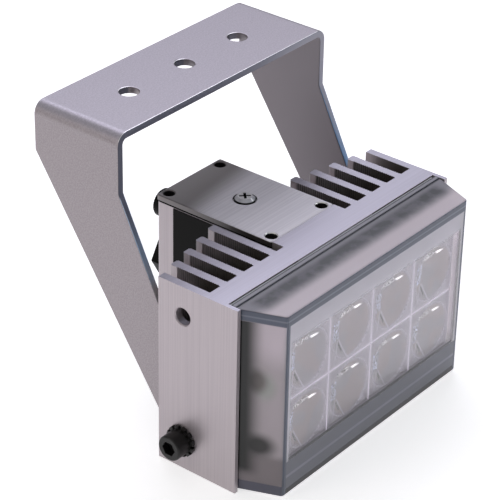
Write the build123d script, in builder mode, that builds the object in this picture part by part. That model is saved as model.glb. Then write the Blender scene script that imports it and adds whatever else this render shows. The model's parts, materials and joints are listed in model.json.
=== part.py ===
from build123d import *
import math
import os

# White light illuminator: a finned head with a clear front, tilting in a sheet yoke.
# Frame: +X to the right seen from the front, +Y to the rear, +Z up, in millimetres.
# The origin is the bottom centre of the whole object at rest.

# Array of optics, and the room around it to the outside of the head
optic_columns = 4
optic_rows = 2
optic_pitch = 25.4
side_room = 11.7
end_room = 12.85
head_width = optic_columns * optic_pitch + 2 * side_room
head_height = optic_rows * optic_pitch + 2 * end_room

# Heatsink extrusion: base plate, two side plates with lips, fins and the driver chamber
plate_thickness = 3.3
plate_depth = 35.6
lip_depth = 5.5
lip_thickness = 1.7
base_thickness = 9.5
fin_pitch = 9.2
fin_thickness = 3.85
fin_step = 2.1
fin_corner = 0.6
fin_root = 1.0
rib_pitch = 1.0
rib_depth = 0.35
rib_free_tip = 2.6
rib_free_root = 0.6

# Driver chamber, behind the base plate and one piece with it
chamber_half_width = 18.2
chamber_gap = 4.0
chamber_wall = 2.5
chamber_ledge = 5.1
chamber_depth = 59.6
chamber_corner = 1.2
port_inset_x = 3.4
port_inset_y = 2.9
port_front_inset = 3.0
port_radius = 2.8
port_hole_radius = 1.65
guide_slot = 1.9
guide_width = 1.2
guide_height = 1.6

# Lids on both ends of the chamber, each on its gasket
lid_thickness = 2.2
lid_overhang = 0.2
lid_seam = 0.15
lid_corner = 1.0
lid_edge = 0.3
lid_hole_radius = 2.2
lid_hole_chamfer = 0.4
gasket_thickness = 0.8
gasket_inset = 0.1
screw_shank_radius = 2.0
screw_head_radius = 4.0
screw_head_height = 2.6
screw_pocket_radius = 4.6
screw_pocket_depth = 1.2
screw_reach = 9.0
screw_bevel = 1.2
cross_length = 4.4
cross_width = 1.0
cross_depth = 1.5
post_flats = 7.0

# Side holes, at the same distance from both ends of the side plates
side_hole_y = 24.5
side_hole_inset = 12.2
side_hole_radius = 3.3
side_hole_chamfer = 0.4

# Yoke bracket, bent from sheet
sheet = 2.8
yoke_clearance = 0.3
yoke_rise = 46.1
yoke_depth = 39.8
yoke_front = 57.0
yoke_bend = 2.0
kink_front = 22.8
kink_rear = 27.1
arm_end_radius = 9.0
yoke_hole_spacing = 30.5
yoke_hole_radius = 3.75

# Pivot bolts: socket-head screws with toothed washers
bolt_radius = 3.0
bolt_head_radius = 5.0
bolt_head_height = 6.0
bolt_socket_flats = 5.0
bolt_socket_depth = 3.2
bolt_head_chamfer = 0.5
bolt_past_arm = 1.2
bolt_fit = 0.05
washer_radius = 6.2
washer_thickness = 1.5
washer_teeth = 12
washer_notch = 1.2
washer_clearance = 0.1

# Clear cover, bonded between the lips on a gasket
cover_proud = 15.0
cover_taper = 6.2
cover_wall = 3.0
cover_top_wall = 3.9
cover_bottom_rise = 0.5
cover_step = 0.3
cover_flange = 2.0
cover_corner = 1.5
cover_edge = 0.6
cover_fit = 0.3
bond_thickness = 1.2
bond_inset = 0.6

# Light engine: board on a thermal pad, emitters and one clear optic over each
optic_gap = 0.6
optic_height = 13.9
optic_plate = 2.0
optic_base_radius = 6.5
optic_mouth_radius = 16.6
optic_base_lift = 2.2
optic_pocket_radius = 3.1
optic_pocket_depth = 5.5
optic_pocket_shoulder = 4.1
optic_bulge = 1.3
optic_leg = 2.0
optic_leg_inset = 1.6
emitter_size = 3.5
emitter_height = 0.9
emitter_dome = 1.25
emitter_join = 0.1
board_thickness = 1.6
board_margin = 1.2
board_corner = 1.6
pad_thickness = 0.5
pad_inset = 1.5
board_screw_radius = 1.5
board_screw_head = 2.6
board_screw_head_height = 1.8
board_screw_length = 6.0
board_screw_bevel = 0.7
board_screw_offset = 3.0

# Driver board in the card guides, with its parts
driver_port_gap = 0.7
driver_thickness = 1.6
driver_fit = 0.15
driver_end_gap = 5.25
lead_radius = 2.0
lead_hole_radius = 3.0
lead_fit = 0.1
header_size = 7.6
header_length = 9.0
header_chamfer = 0.6
parts_margin = 0.5
terminal_length = 12.0
terminal_height = 14.0
terminal_depth = 7.0
terminal_drop = 14.0
terminal_hole_radius = 1.75
terminal_hole_pitch = 7.0
terminal_hole_depth = 3.5
choke_radius = 5.5
choke_hole_radius = 2.2
choke_height = 6.0
choke_bevel = 1.0
choke_rise = 17.0
capacitor_radius = 3.6
capacitor_length = 15.0
capacitor_bevel = 0.4
low_capacitor_drop = 28.0
high_capacitor_rise = 7.5

# Cable gland and vent plug on the rear wall
gland_rise = 0.65
gland_thread_radius = 6.0
gland_corner_radius = 8.7
gland_flange = 4.0
gland_nut_length = 6.5
gland_nut_gap = 0.4
gland_seal_radius = 4.9
gland_cable_radius = 3.2
gland_seal_length = 8.0
gland_mouth_radius = 4.3
gland_mouth_wall = 1.2
gland_chamfer = 0.4
gland_ring_radius = 7.0
gland_lock_radius = 7.4
thread_fit = 0.1
lock_nut_thickness = 3.0
vent_spacing = 21.8
vent_radius = 5.6
vent_reach = 13.6
vent_flange_radius = 6.8
vent_flange = 2.4
vent_thread_radius = 4.0
vent_ring_radius = 6.1
vent_bevel = 0.5
vent_lock_radius = 6.5
ring_thickness = 1.0
thread_past_nut = 1.0

# Bare black film on the left wall of the chamber
film_thickness = 0.3
film_front_margin = 1.0
film_rear_margin = 8.0
film_end_margin = 0.3

# Places worked out from the sizes above
lip_y = (cover_proud - yoke_front - yoke_depth) / 2
base_front = lip_y + lip_depth
base_rear = base_front + base_thickness
plate_rear = lip_y + plate_depth
chamber_rear = base_rear + chamber_depth
ledge_y = base_rear + chamber_ledge
chamber_front = ledge_y + chamber_wall
chamber_back = chamber_rear - chamber_wall
lid_rear = chamber_rear + lid_overhang
lid_front = ledge_y + lid_seam
lid_middle = (lid_front + lid_rear) / 2
port_x = chamber_half_width - port_inset_x
port_rear = chamber_rear - port_inset_y
port_front = lid_front + port_front_inset
port_places = [(-port_x, port_front), (port_x, port_front), (-port_x, port_rear), (port_x, port_rear)]
recess = lid_thickness + gasket_thickness
half_width = head_width / 2
plate_inner = half_width - plate_thickness
pivot_y = lip_y + side_hole_y
pivot_z = side_hole_inset
upper_hole_z = head_height - side_hole_inset
middle_z = head_height / 2
gland_z = middle_z + gland_rise
vent_z = gland_z + vent_spacing
arm_outer = plate_inner - yoke_clearance
fin_room = arm_outer - sheet - bolt_past_arm - chamber_half_width - chamber_gap
fins_per_side = int((fin_room - fin_thickness) / fin_pitch) + 1
yoke_top = head_height + yoke_rise
yoke_near = lip_y + yoke_front
yoke_far = yoke_near + yoke_depth
cover_face = lip_y - cover_proud
flange_rear = base_front - bond_thickness
flange_front = flange_rear - cover_flange
flange_half = half_width - lip_thickness - cover_fit
board_back = base_front - pad_thickness
board_front = board_back - board_thickness
optic_size = optic_pitch - optic_gap
driver_x = port_radius + driver_port_gap + driver_thickness / 2 - port_x
lead_x = driver_x + driver_thickness / 2 + header_size / 2
driver_height = head_height - 2 * recess - 2 * driver_end_gap
driver_edge_front = chamber_front + driver_fit
driver_edge_rear = chamber_back - driver_fit
parts_front = chamber_front + guide_height + parts_margin
parts_rear = lid_middle + post_flats / 2 + parts_margin

os.makedirs("parts", exist_ok=True)


def save(builder, label):
    builder.part.label = label
    export_step(builder.part, "parts/" + label + ".step")


def fin_points(x, tip):
    # One fin seen from above: smooth at its root and tip, with V ribs along both walls
    start = base_rear + rib_free_root
    count = int((tip - rib_free_tip - start) / rib_pitch)
    half = fin_thickness / 2
    wall = [(half, base_rear - fin_root), (half, start)]
    for i in range(count):
        wall.append((half - rib_depth, start + (i + 0.5) * rib_pitch))
        wall.append((half, start + (i + 1) * rib_pitch))
    wall.append((half, tip - fin_corner))
    wall.append((half - fin_corner, tip))
    right = [(x + dx, y) for dx, y in wall]
    left = [(x - dx, y) for dx, y in reversed(wall)]
    return right + left


def tangent_point(corner, centre, radius, side):
    # Where a line from the corner touches the circle, on the given side
    away = math.atan2(corner[1] - centre[1], corner[0] - centre[0])
    distance = math.dist(corner, centre)
    angle = away + side * math.acos(radius / distance)
    return (centre[0] + radius * math.cos(angle), centre[1] + radius * math.sin(angle))


# Heatsink, one extrusion milled at both ends of the chamber
with BuildPart() as heatsink:
    with BuildSketch(Plane.XY):
        with Locations((0, (base_front + base_rear) / 2)):
            Rectangle(head_width, base_thickness)
        for side in (-1, 1):
            with Locations((side * (half_width - plate_thickness / 2), (base_front + plate_rear) / 2)):
                Rectangle(plate_thickness, plate_rear - base_front)
            with Locations((side * (half_width - lip_thickness / 2), (lip_y + base_rear) / 2)):
                Rectangle(lip_thickness, base_rear - lip_y)
        with Locations((0, (base_rear - chamber_corner + chamber_rear) / 2)):
            RectangleRounded(2 * chamber_half_width, chamber_depth + chamber_corner, chamber_corner)
        with Locations((0, (chamber_front + chamber_back) / 2)):
            Rectangle(2 * (chamber_half_width - chamber_wall), chamber_back - chamber_front, mode=Mode.SUBTRACT)
        guide_shift = (guide_slot + guide_width) / 2
        for wall_y, inward in ((chamber_front, 1), (chamber_back, -1)):
            for shift in (-guide_shift, guide_shift):
                with Locations((driver_x + shift, wall_y + inward * guide_height / 2)):
                    Rectangle(guide_width, guide_height)
        with Locations(*port_places):
            Circle(port_radius)
            Circle(port_hole_radius, mode=Mode.SUBTRACT)
    extrude(amount=head_height)
    # The chamber ends are milled back, so that the lids lie flush with the plates
    for end_z, direction in ((0, 1), (head_height, -1)):
        with BuildSketch(Plane.XY.offset(end_z)):
            with Locations((0, (ledge_y + lid_rear) / 2)):
                Rectangle(2 * (chamber_half_width + lid_overhang), lid_rear - ledge_y)
        extrude(amount=direction * recess, mode=Mode.SUBTRACT)
    # Two holes through each side plate, for the pivot bolts at either end
    for side in (-1, 1):
        for hole_z in (pivot_z, upper_hole_z):
            outside = Plane(origin=(side * half_width, pivot_y, hole_z), x_dir=(0, 1, 0), z_dir=(side, 0, 0))
            with BuildSketch(outside):
                Circle(side_hole_radius)
            extrude(amount=-plate_thickness, mode=Mode.SUBTRACT)
            with BuildSketch(outside):
                Circle(side_hole_radius + side_hole_chamfer)
            extrude(amount=-side_hole_chamfer, taper=45, mode=Mode.SUBTRACT)
    # Gland and vent holes in the rear wall
    for hole_z, radius in ((gland_z, gland_thread_radius), (vent_z, vent_thread_radius)):
        with BuildSketch(Plane(origin=(0, chamber_rear, hole_z), x_dir=(1, 0, 0), z_dir=(0, 1, 0))):
            Circle(radius + thread_fit)
        extrude(amount=-chamber_wall, mode=Mode.SUBTRACT)
    # Way for the lead from the chamber to the light board
    with BuildSketch(Plane(origin=(lead_x, base_front, middle_z), x_dir=(1, 0, 0), z_dir=(0, -1, 0))):
        Circle(lead_hole_radius)
    extrude(amount=-(chamber_front - base_front), mode=Mode.SUBTRACT)
    # Tapped holes for the board screws
    array_half = optic_pitch * optic_columns / 2
    screw_xs = (-array_half, 0, array_half)
    screw_rise = optic_pitch * optic_rows / 2 + board_screw_offset
    screw_zs = (middle_z - screw_rise, middle_z + screw_rise)
    screw_places = [(x, z) for x in screw_xs for z in screw_zs]
    with BuildSketch(Plane(origin=(0, base_front, 0), x_dir=(1, 0, 0), z_dir=(0, -1, 0))):
        with Locations(*screw_places):
            Circle(board_screw_radius + bolt_fit)
    extrude(amount=-board_screw_length, mode=Mode.SUBTRACT)
    # Ribbed fins on both sides of the chamber, longest beside it
    with BuildSketch(Plane.XY):
        for side in (-1, 1):
            for k in range(fins_per_side):
                fin_x = chamber_half_width + chamber_gap + fin_thickness / 2 + k * fin_pitch
                fin_tip = plate_rear + (fins_per_side - k) * fin_step
                with BuildLine():
                    Polyline(fin_points(side * fin_x, fin_tip), close=True)
                make_face()
    extrude(amount=head_height)
save(heatsink, "heatsink")

# Lids, the same plate at both ends, and the gaskets they press on
lid_length = lid_rear - lid_front
lid_width = 2 * (chamber_half_width + lid_overhang)
for label, outer_z, inward in (("top_lid", head_height, -1), ("bottom_lid", 0, 1)):
    outer_plane = Plane(origin=(0, lid_middle, outer_z), x_dir=(1, 0, 0), z_dir=(0, 0, -inward))
    with BuildPart() as lid:
        with BuildSketch(outer_plane):
            RectangleRounded(lid_width, lid_length, lid_corner)
        extrude(amount=-lid_thickness)
        outer_face = lid.faces().filter_by(Axis.Z).sort_by(Axis.Z)[-1 if inward < 0 else 0]
        chamfer(outer_face.edges(), lid_edge)
        with Locations(outer_plane):
            with Locations((0, inward * (lid_middle - (port_front + port_rear) / 2))):
                with GridLocations(2 * port_x, port_rear - port_front, 2, 2):
                    CounterSinkHole(lid_hole_radius, lid_hole_radius + lid_hole_chamfer, counter_sink_angle=90)
            if inward < 0:
                CounterBoreHole(screw_shank_radius + thread_fit, screw_pocket_radius, screw_pocket_depth)
            else:
                CounterSinkHole(screw_shank_radius + thread_fit, screw_head_radius, counter_sink_angle=90)
    save(lid, label)
for label, low_z in (("top_gasket", head_height - recess), ("bottom_gasket", lid_thickness)):
    with BuildPart() as gasket:
        with BuildSketch(Plane.XY.offset(low_z)):
            with Locations((0, (ledge_y + chamber_rear) / 2)):
                RectangleRounded(
                    2 * (chamber_half_width - gasket_inset),
                    chamber_rear - ledge_y - 2 * gasket_inset,
                    chamber_corner,
                )
            with Locations((0, (chamber_front + chamber_back) / 2)):
                Rectangle(
                    2 * (chamber_half_width - chamber_wall),
                    chamber_back - chamber_front,
                    mode=Mode.SUBTRACT,
                )
            with Locations(*port_places):
                Circle(port_radius - gasket_inset)
                Circle(lid_hole_radius, mode=Mode.SUBTRACT)
        extrude(amount=gasket_thickness)
    save(gasket, label)

# Hexagon post between the lids, tapped at both ends for the lid screws
with BuildPart() as lid_post:
    with BuildSketch(Plane(origin=(0, lid_middle, lid_thickness))):
        RegularPolygon(post_flats / 2, 6, major_radius=False)
        Circle(screw_shank_radius + bolt_fit, mode=Mode.SUBTRACT)
    extrude(amount=head_height - 2 * lid_thickness)
save(lid_post, "lid_post")

# Upper screw: a pan head in the lid's pocket, with a cross recess
head_seat = head_height - screw_pocket_depth
with BuildPart() as top_lid_screw:
    with BuildSketch(Plane(origin=(0, lid_middle, head_seat))):
        Circle(screw_head_radius)
    extrude(amount=screw_head_height)
    chamfer(top_lid_screw.edges().group_by(Axis.Z)[-1], screw_bevel)
    with BuildSketch(Plane(origin=(0, lid_middle, head_seat + screw_head_height))):
        Rectangle(cross_length, cross_width, rotation=45)
        Rectangle(cross_length, cross_width, rotation=-45)
    extrude(amount=-cross_depth, mode=Mode.SUBTRACT)
    with BuildSketch(Plane(origin=(0, lid_middle, head_seat))):
        Circle(screw_shank_radius)
    extrude(amount=-screw_reach)
save(top_lid_screw, "top_lid_screw")

# Lower screw: a countersunk head, so that the head of the lamp stands flat
lower_plane = Plane(origin=(0, lid_middle, 0))
with BuildPart() as bottom_lid_screw:
    with BuildSketch(lower_plane):
        Circle(screw_head_radius - bolt_fit)
    extrude(amount=screw_head_radius - bolt_fit - screw_shank_radius, taper=45)
    with BuildSketch(lower_plane):
        Circle(screw_shank_radius)
    extrude(amount=screw_reach)
    with BuildSketch(lower_plane):
        Rectangle(cross_length, cross_width)
        Rectangle(cross_width, cross_length)
    extrude(amount=cross_depth, mode=Mode.SUBTRACT)
save(bottom_lid_screw, "bottom_lid_screw")

# Yoke: a U of sheet seen from the front, cut to the outline of its arms seen from the side
rear_kink = (yoke_far, head_height + kink_rear)
front_kink = (yoke_near, head_height + kink_front)
pivot = (pivot_y, pivot_z)
rear_touch = tangent_point(rear_kink, pivot, arm_end_radius, -1)
front_touch = tangent_point(front_kink, pivot, arm_end_radius, 1)
with BuildPart() as yoke_bracket:
    with BuildSketch(Plane(origin=(0, yoke_far, 0), x_dir=(1, 0, 0), z_dir=(0, -1, 0))):
        inner = arm_outer - sheet
        inner_top = yoke_top - sheet
        with BuildLine():
            FilletPolyline(
                (-arm_outer, 0), (-arm_outer, yoke_top), (arm_outer, yoke_top), (arm_outer, 0),
                radius=yoke_bend + sheet,
            )
            Line((arm_outer, 0), (inner, 0))
            FilletPolyline((inner, 0), (inner, inner_top), (-inner, inner_top), (-inner, 0), radius=yoke_bend)
            Line((-inner, 0), (-arm_outer, 0))
        make_face()
    extrude(amount=yoke_far - pivot_y + arm_end_radius)
    with BuildSketch(Plane(origin=(-half_width, 0, 0), x_dir=(0, 1, 0), z_dir=(1, 0, 0))):
        with BuildLine():
            Polyline(front_touch, front_kink, (yoke_near, yoke_top), (yoke_far, yoke_top), rear_kink, rear_touch)
            ThreePointArc(rear_touch, (pivot_y, pivot_z - arm_end_radius), front_touch)
        make_face()
    extrude(amount=head_width, mode=Mode.INTERSECT)
    with BuildSketch(Plane.XY.offset(yoke_top)):
        with Locations((0, (yoke_near + yoke_far) / 2)):
            with GridLocations(yoke_hole_spacing, 1, 3, 1):
                Circle(yoke_hole_radius)
    extrude(amount=-sheet, mode=Mode.SUBTRACT)
    with BuildSketch(Plane(origin=(-half_width, 0, 0), x_dir=(0, 1, 0), z_dir=(1, 0, 0))):
        with Locations(pivot):
            Circle(bolt_radius + bolt_fit)
    extrude(amount=head_width, mode=Mode.SUBTRACT)
save(yoke_bracket, "yoke_bracket")

# Pivot bolts and their toothed washers, one pair on each side
bolt_seat = half_width + washer_clearance + washer_thickness
shank_length = bolt_seat - arm_outer + sheet + bolt_past_arm
for side, name in ((-1, "left"), (1, "right")):
    with BuildPart() as bolt:
        seat = Plane(origin=(side * bolt_seat, pivot_y, pivot_z), x_dir=(0, 1, 0), z_dir=(side, 0, 0))
        with BuildSketch(seat):
            Circle(bolt_head_radius)
        extrude(amount=bolt_head_height)
        rim = bolt.edges().filter_by(GeomType.CIRCLE).sort_by(Axis.X)[-1 if side > 0 else 0]
        chamfer(rim, bolt_head_chamfer)
        with BuildSketch(seat.offset(bolt_head_height)):
            RegularPolygon(bolt_socket_flats / 2, 6, major_radius=False)
        extrude(amount=-bolt_socket_depth, mode=Mode.SUBTRACT)
        with BuildSketch(seat):
            Circle(bolt_radius)
        extrude(amount=-shank_length)
    save(bolt, name + "_pivot_bolt")
    with BuildPart() as washer:
        face = Plane(origin=(side * (half_width + washer_clearance), pivot_y, pivot_z),
                     x_dir=(0, 1, 0), z_dir=(side, 0, 0))
        with BuildSketch(face):
            Circle(washer_radius)
            Circle(bolt_radius + thread_fit, mode=Mode.SUBTRACT)
            with PolarLocations(washer_radius, washer_teeth):
                Rectangle(washer_notch * 2, washer_notch, mode=Mode.SUBTRACT)
        extrude(amount=washer_thickness)
    save(washer, name + "_toothed_washer")

# Clear cover: a drafted box open to the rear, with a flange that sits between the lips
rear_half = flange_half - cover_step
cover_front_half = rear_half - cover_taper
cover_slope = (rear_half - cover_front_half) / cover_proud
side_wall = cover_wall * math.hypot(1, cover_slope)
opening_half = rear_half - side_wall
inner_face = cover_face + cover_wall
inner_face_half = cover_front_half + cover_slope * cover_wall - side_wall
body_low = cover_bottom_rise + cover_step
body_high = head_height - cover_step
opening_low = body_low + cover_top_wall
opening_high = body_high - cover_top_wall
front_plane = Plane(origin=(0, flange_rear, 0), x_dir=(1, 0, 0), z_dir=(0, -1, 0))
with BuildPart() as front_cover:
    with BuildSketch(Plane.XY.offset(body_low)):
        with BuildLine():
            Polyline(
                (-rear_half, flange_front), (-rear_half, lip_y), (-cover_front_half, cover_face),
                (cover_front_half, cover_face), (rear_half, lip_y), (rear_half, flange_front), close=True,
            )
        make_face()
    extrude(amount=body_high - body_low)
    fillet(front_cover.edges().filter_by(Axis.Z).group_by(Axis.Y)[0], cover_corner)
    fillet(front_cover.faces().sort_by(Axis.Y)[0].edges(), cover_edge)
    with BuildSketch(front_plane):
        with Locations((0, (cover_bottom_rise + head_height) / 2)):
            Rectangle(2 * flange_half, head_height - cover_bottom_rise)
    extrude(amount=cover_flange)
    with BuildSketch(Plane.XY.offset(opening_low)):
        with BuildLine():
            Polyline(
                (-opening_half, flange_rear), (-opening_half, lip_y), (-inner_face_half, inner_face),
                (inner_face_half, inner_face), (opening_half, lip_y), (opening_half, flange_rear), close=True,
            )
        make_face()
    extrude(amount=opening_high - opening_low, mode=Mode.SUBTRACT)
save(front_cover, "front_cover")

with BuildPart() as cover_gasket:
    with BuildSketch(Plane(origin=(0, base_front, 0), x_dir=(1, 0, 0), z_dir=(0, -1, 0))):
        with Locations((0, (cover_bottom_rise + head_height) / 2)):
            Rectangle(2 * (flange_half - bond_inset), head_height - cover_bottom_rise - 2 * bond_inset)
        with Locations((0, (opening_low + opening_high) / 2)):
            Rectangle(2 * opening_half, opening_high - opening_low, mode=Mode.SUBTRACT)
    extrude(amount=bond_thickness)
save(cover_gasket, "cover_gasket")

# Light engine, built outwards from the heatsink: pad, board, screws, emitters and optics
board_width = 2 * (opening_half - board_margin)
board_height = opening_high - opening_low - 2 * board_margin
with BuildPart() as thermal_pad:
    with BuildSketch(Plane(origin=(0, base_front, 0), x_dir=(1, 0, 0), z_dir=(0, -1, 0))):
        with Locations((0, middle_z)):
            Rectangle(board_width - 2 * pad_inset, board_height - 2 * pad_inset)
        with Locations(*screw_places):
            Circle(board_screw_radius + thread_fit, mode=Mode.SUBTRACT)
        with Locations((lead_x, middle_z)):
            Circle(lead_hole_radius, mode=Mode.SUBTRACT)
    extrude(amount=pad_thickness)
save(thermal_pad, "thermal_pad")

with BuildPart() as light_board:
    with BuildSketch(Plane(origin=(0, board_back, 0), x_dir=(1, 0, 0), z_dir=(0, -1, 0))):
        with Locations((0, middle_z)):
            RectangleRounded(board_width, board_height, board_corner)
        with Locations(*screw_places):
            Circle(board_screw_radius + thread_fit, mode=Mode.SUBTRACT)
    extrude(amount=board_thickness)
save(light_board, "light_board")

board_plane = Plane(origin=(0, board_front, 0), x_dir=(1, 0, 0), z_dir=(0, -1, 0))
with BuildPart() as board_screws:
    with BuildSketch(board_plane):
        with Locations(*screw_places):
            Circle(board_screw_head)
    extrude(amount=board_screw_head_height)
    chamfer(board_screws.edges().group_by(Axis.Y)[0], board_screw_bevel)
    with BuildSketch(board_plane):
        with Locations(*screw_places):
            Circle(board_screw_radius)
    extrude(amount=-(board_screw_length + board_thickness + pad_thickness - bolt_fit))
save(board_screws, "board_screws")

number = 0
for row in range(optic_rows):
    for column in range(optic_columns):
        number += 1
        optic_x = (column - (optic_columns - 1) / 2) * optic_pitch
        optic_z = middle_z + ((optic_rows - 1) / 2 - row) * optic_pitch
        base = Plane(origin=(optic_x, board_front, optic_z), x_dir=(1, 0, 0), z_dir=(0, -1, 0))
        through = Plane(origin=(optic_x, board_front, optic_z), x_dir=(1, 0, 0), z_dir=(0, 0, 1))
        axis = Axis((optic_x, board_front, optic_z), (0, 1, 0))
        with BuildPart() as emitter:
            with BuildSketch(base):
                Rectangle(emitter_size, emitter_size)
            extrude(amount=emitter_height)
            with BuildSketch(through):
                with BuildLine():
                    foot = -emitter_height + emitter_join
                    Polyline((emitter_dome, foot), (0, foot), (0, -emitter_height - emitter_dome))
                    Line((emitter_dome, foot), (emitter_dome, -emitter_height))
                    RadiusArc((emitter_dome, -emitter_height), (0, -emitter_height - emitter_dome), emitter_dome)
                make_face()
            revolve(axis=axis)
        save(emitter, f"emitter_{number}")
        # Collimator: a cup of two cones clipped to a square, under a square front plate
        cup_top = optic_height - optic_plate
        swell = (optic_base_radius + optic_mouth_radius) / 2 + optic_bulge
        with BuildPart() as optic:
            with BuildSketch(through):
                with BuildLine():
                    Polyline(
                        (optic_base_radius, -optic_base_lift),
                        (swell, -(optic_base_lift + cup_top) / 2),
                        (optic_mouth_radius, -cup_top),
                        (0, -cup_top),
                        (0, -optic_base_lift - optic_pocket_depth),
                        (optic_pocket_radius, -optic_base_lift - optic_pocket_shoulder),
                        (optic_pocket_radius, -optic_base_lift),
                        close=True,
                    )
                make_face()
            revolve(axis=axis)
            with BuildSketch(base):
                Rectangle(optic_size, optic_size)
            extrude(amount=optic_height, mode=Mode.INTERSECT)
            with BuildSketch(base.offset(cup_top)):
                Rectangle(optic_size, optic_size)
            extrude(amount=optic_plate)
            with BuildSketch(base):
                leg_spacing = optic_size - 2 * optic_leg_inset
                with GridLocations(leg_spacing, leg_spacing, 2, 2):
                    Rectangle(optic_leg, optic_leg)
            extrude(amount=cup_top)
        save(optic, f"optic_{number}")

# Driver board, edge on in its guides, with the parts that stand on it
board_side = driver_x + driver_thickness / 2
with BuildPart() as driver_board:
    with BuildSketch(Plane(origin=(driver_x - driver_thickness / 2, 0, 0), x_dir=(0, 1, 0), z_dir=(1, 0, 0))):
        with Locations(((driver_edge_front + driver_edge_rear) / 2, middle_z)):
            Rectangle(driver_edge_rear - driver_edge_front, driver_height)
    extrude(amount=driver_thickness)
save(driver_board, "driver_board")

parts_plane = Plane(origin=(board_side, 0, 0), x_dir=(0, 1, 0), z_dir=(1, 0, 0))
with BuildPart() as lead_header:
    with BuildSketch(parts_plane):
        with Locations((parts_front + header_length / 2, middle_z)):
            Rectangle(header_length, header_size)
    extrude(amount=header_size)
    chamfer(lead_header.edges().filter_by(Axis.Z).group_by(Axis.X)[-1], header_chamfer)
save(lead_header, "lead_header")

terminal_place = (parts_rear + terminal_length / 2, middle_z - terminal_drop)
with BuildPart() as supply_terminal:
    with BuildSketch(parts_plane):
        with Locations(terminal_place):
            Rectangle(terminal_length, terminal_height)
    extrude(amount=terminal_depth)
    with BuildSketch(parts_plane.offset(terminal_depth)):
        with Locations(terminal_place):
            with GridLocations(1, terminal_hole_pitch, 1, 2):
                Circle(terminal_hole_radius)
    extrude(amount=-terminal_hole_depth, mode=Mode.SUBTRACT)
save(supply_terminal, "supply_terminal")

with BuildPart() as driver_choke:
    with BuildSketch(parts_plane):
        with Locations((parts_front + choke_radius, middle_z + choke_rise)):
            Circle(choke_radius)
            Circle(choke_hole_radius, mode=Mode.SUBTRACT)
    extrude(amount=choke_height)
    chamfer(driver_choke.edges().filter_by(GeomType.CIRCLE).group_by(Axis.X)[-1], choke_bevel)
save(driver_choke, "driver_choke")

capacitor_places = (
    (parts_front + capacitor_radius, middle_z - low_capacitor_drop),
    (parts_rear + capacitor_radius, middle_z + high_capacitor_rise),
)
for number, (capacitor_y, capacitor_z) in enumerate(capacitor_places, start=1):
    with BuildPart() as capacitor:
        with BuildSketch(Plane(origin=(board_side + capacitor_radius, capacitor_y, capacitor_z))):
            Circle(capacitor_radius)
        extrude(amount=capacitor_length)
        chamfer(capacitor.edges().filter_by(GeomType.CIRCLE), capacitor_bevel)
    save(capacitor, f"driver_capacitor_{number}")

# Lead from the header, through a sleeve in the base plate, to the back of the light board
lead_plane = Plane(origin=(lead_x, parts_front, middle_z), x_dir=(1, 0, 0), z_dir=(0, -1, 0))
with BuildPart() as light_lead:
    with BuildSketch(lead_plane):
        Circle(lead_radius)
    extrude(amount=parts_front - board_back)
save(light_lead, "light_lead")

with BuildPart() as lead_sleeve:
    with BuildSketch(lead_plane.offset(parts_front - chamber_front)):
        Circle(lead_hole_radius - lead_fit)
        Circle(lead_radius + lead_fit, mode=Mode.SUBTRACT)
    extrude(amount=chamber_front - base_front)
save(lead_sleeve, "lead_sleeve")

# Cable gland, with the corners of its hexagons to the sides
gland_plane = Plane(origin=(0, chamber_rear, gland_z), x_dir=(1, 0, 0), z_dir=(0, 1, 0))
gland_end = ring_thickness + gland_flange + gland_nut_gap + gland_nut_length
thread_length = chamber_wall + lock_nut_thickness + thread_past_nut
seal_start = gland_end - gland_mouth_wall - gland_seal_length
with BuildPart() as gland_body:
    with BuildSketch(gland_plane.offset(ring_thickness)):
        RegularPolygon(gland_corner_radius, 6)
    extrude(amount=gland_flange)
    with BuildSketch(gland_plane.offset(-thread_length)):
        Circle(gland_thread_radius)
    extrude(amount=thread_length + gland_end - gland_mouth_wall - thread_past_nut)
    with BuildSketch(gland_plane.offset(seal_start)):
        Circle(gland_seal_radius + bolt_fit)
    extrude(amount=gland_end, mode=Mode.SUBTRACT)
    with BuildSketch(gland_plane.offset(seal_start)):
        Circle(gland_cable_radius + 2 * thread_fit)
    extrude(amount=-(seal_start + thread_length), mode=Mode.SUBTRACT)
save(gland_body, "gland_body")

with BuildPart() as gland_nut:
    with BuildSketch(gland_plane.offset(gland_end - gland_nut_length)):
        RegularPolygon(gland_corner_radius, 6)
    extrude(amount=gland_nut_length)
    chamfer(gland_nut.faces().sort_by(Axis.Y)[-1].edges(), gland_chamfer)
    with BuildSketch(gland_plane.offset(gland_end - gland_nut_length)):
        Circle(gland_thread_radius + bolt_fit)
    extrude(amount=gland_nut_length - gland_mouth_wall, mode=Mode.SUBTRACT)
    with BuildSketch(gland_plane.offset(gland_end)):
        Circle(gland_mouth_radius)
    extrude(amount=-gland_mouth_wall, mode=Mode.SUBTRACT)
save(gland_nut, "gland_nut")

with BuildPart() as gland_seal:
    with BuildSketch(gland_plane.offset(seal_start)):
        Circle(gland_seal_radius)
        Circle(gland_cable_radius, mode=Mode.SUBTRACT)
    extrude(amount=gland_seal_length)
save(gland_seal, "gland_seal")

# Sealing rings outside the wall and lock nuts inside it, for the gland and the vent plug
vent_plane = Plane(origin=(0, chamber_rear, vent_z), x_dir=(1, 0, 0), z_dir=(0, 1, 0))
ring_sizes = (
    ("gland", gland_plane, gland_thread_radius, gland_ring_radius, gland_lock_radius),
    ("vent", vent_plane, vent_thread_radius, vent_ring_radius, vent_lock_radius),
)
for name, plane, thread, ring_radius, nut_radius in ring_sizes:
    with BuildPart() as ring:
        with BuildSketch(plane):
            Circle(ring_radius)
            Circle(thread + thread_fit, mode=Mode.SUBTRACT)
        extrude(amount=ring_thickness)
    save(ring, name + "_ring")
    with BuildPart() as lock_nut:
        with BuildSketch(plane.offset(-chamber_wall)):
            RegularPolygon(nut_radius, 6, rotation=30)
            Circle(thread + bolt_fit, mode=Mode.SUBTRACT)
        extrude(amount=-lock_nut_thickness)
    save(lock_nut, name + "_lock_nut")

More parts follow.
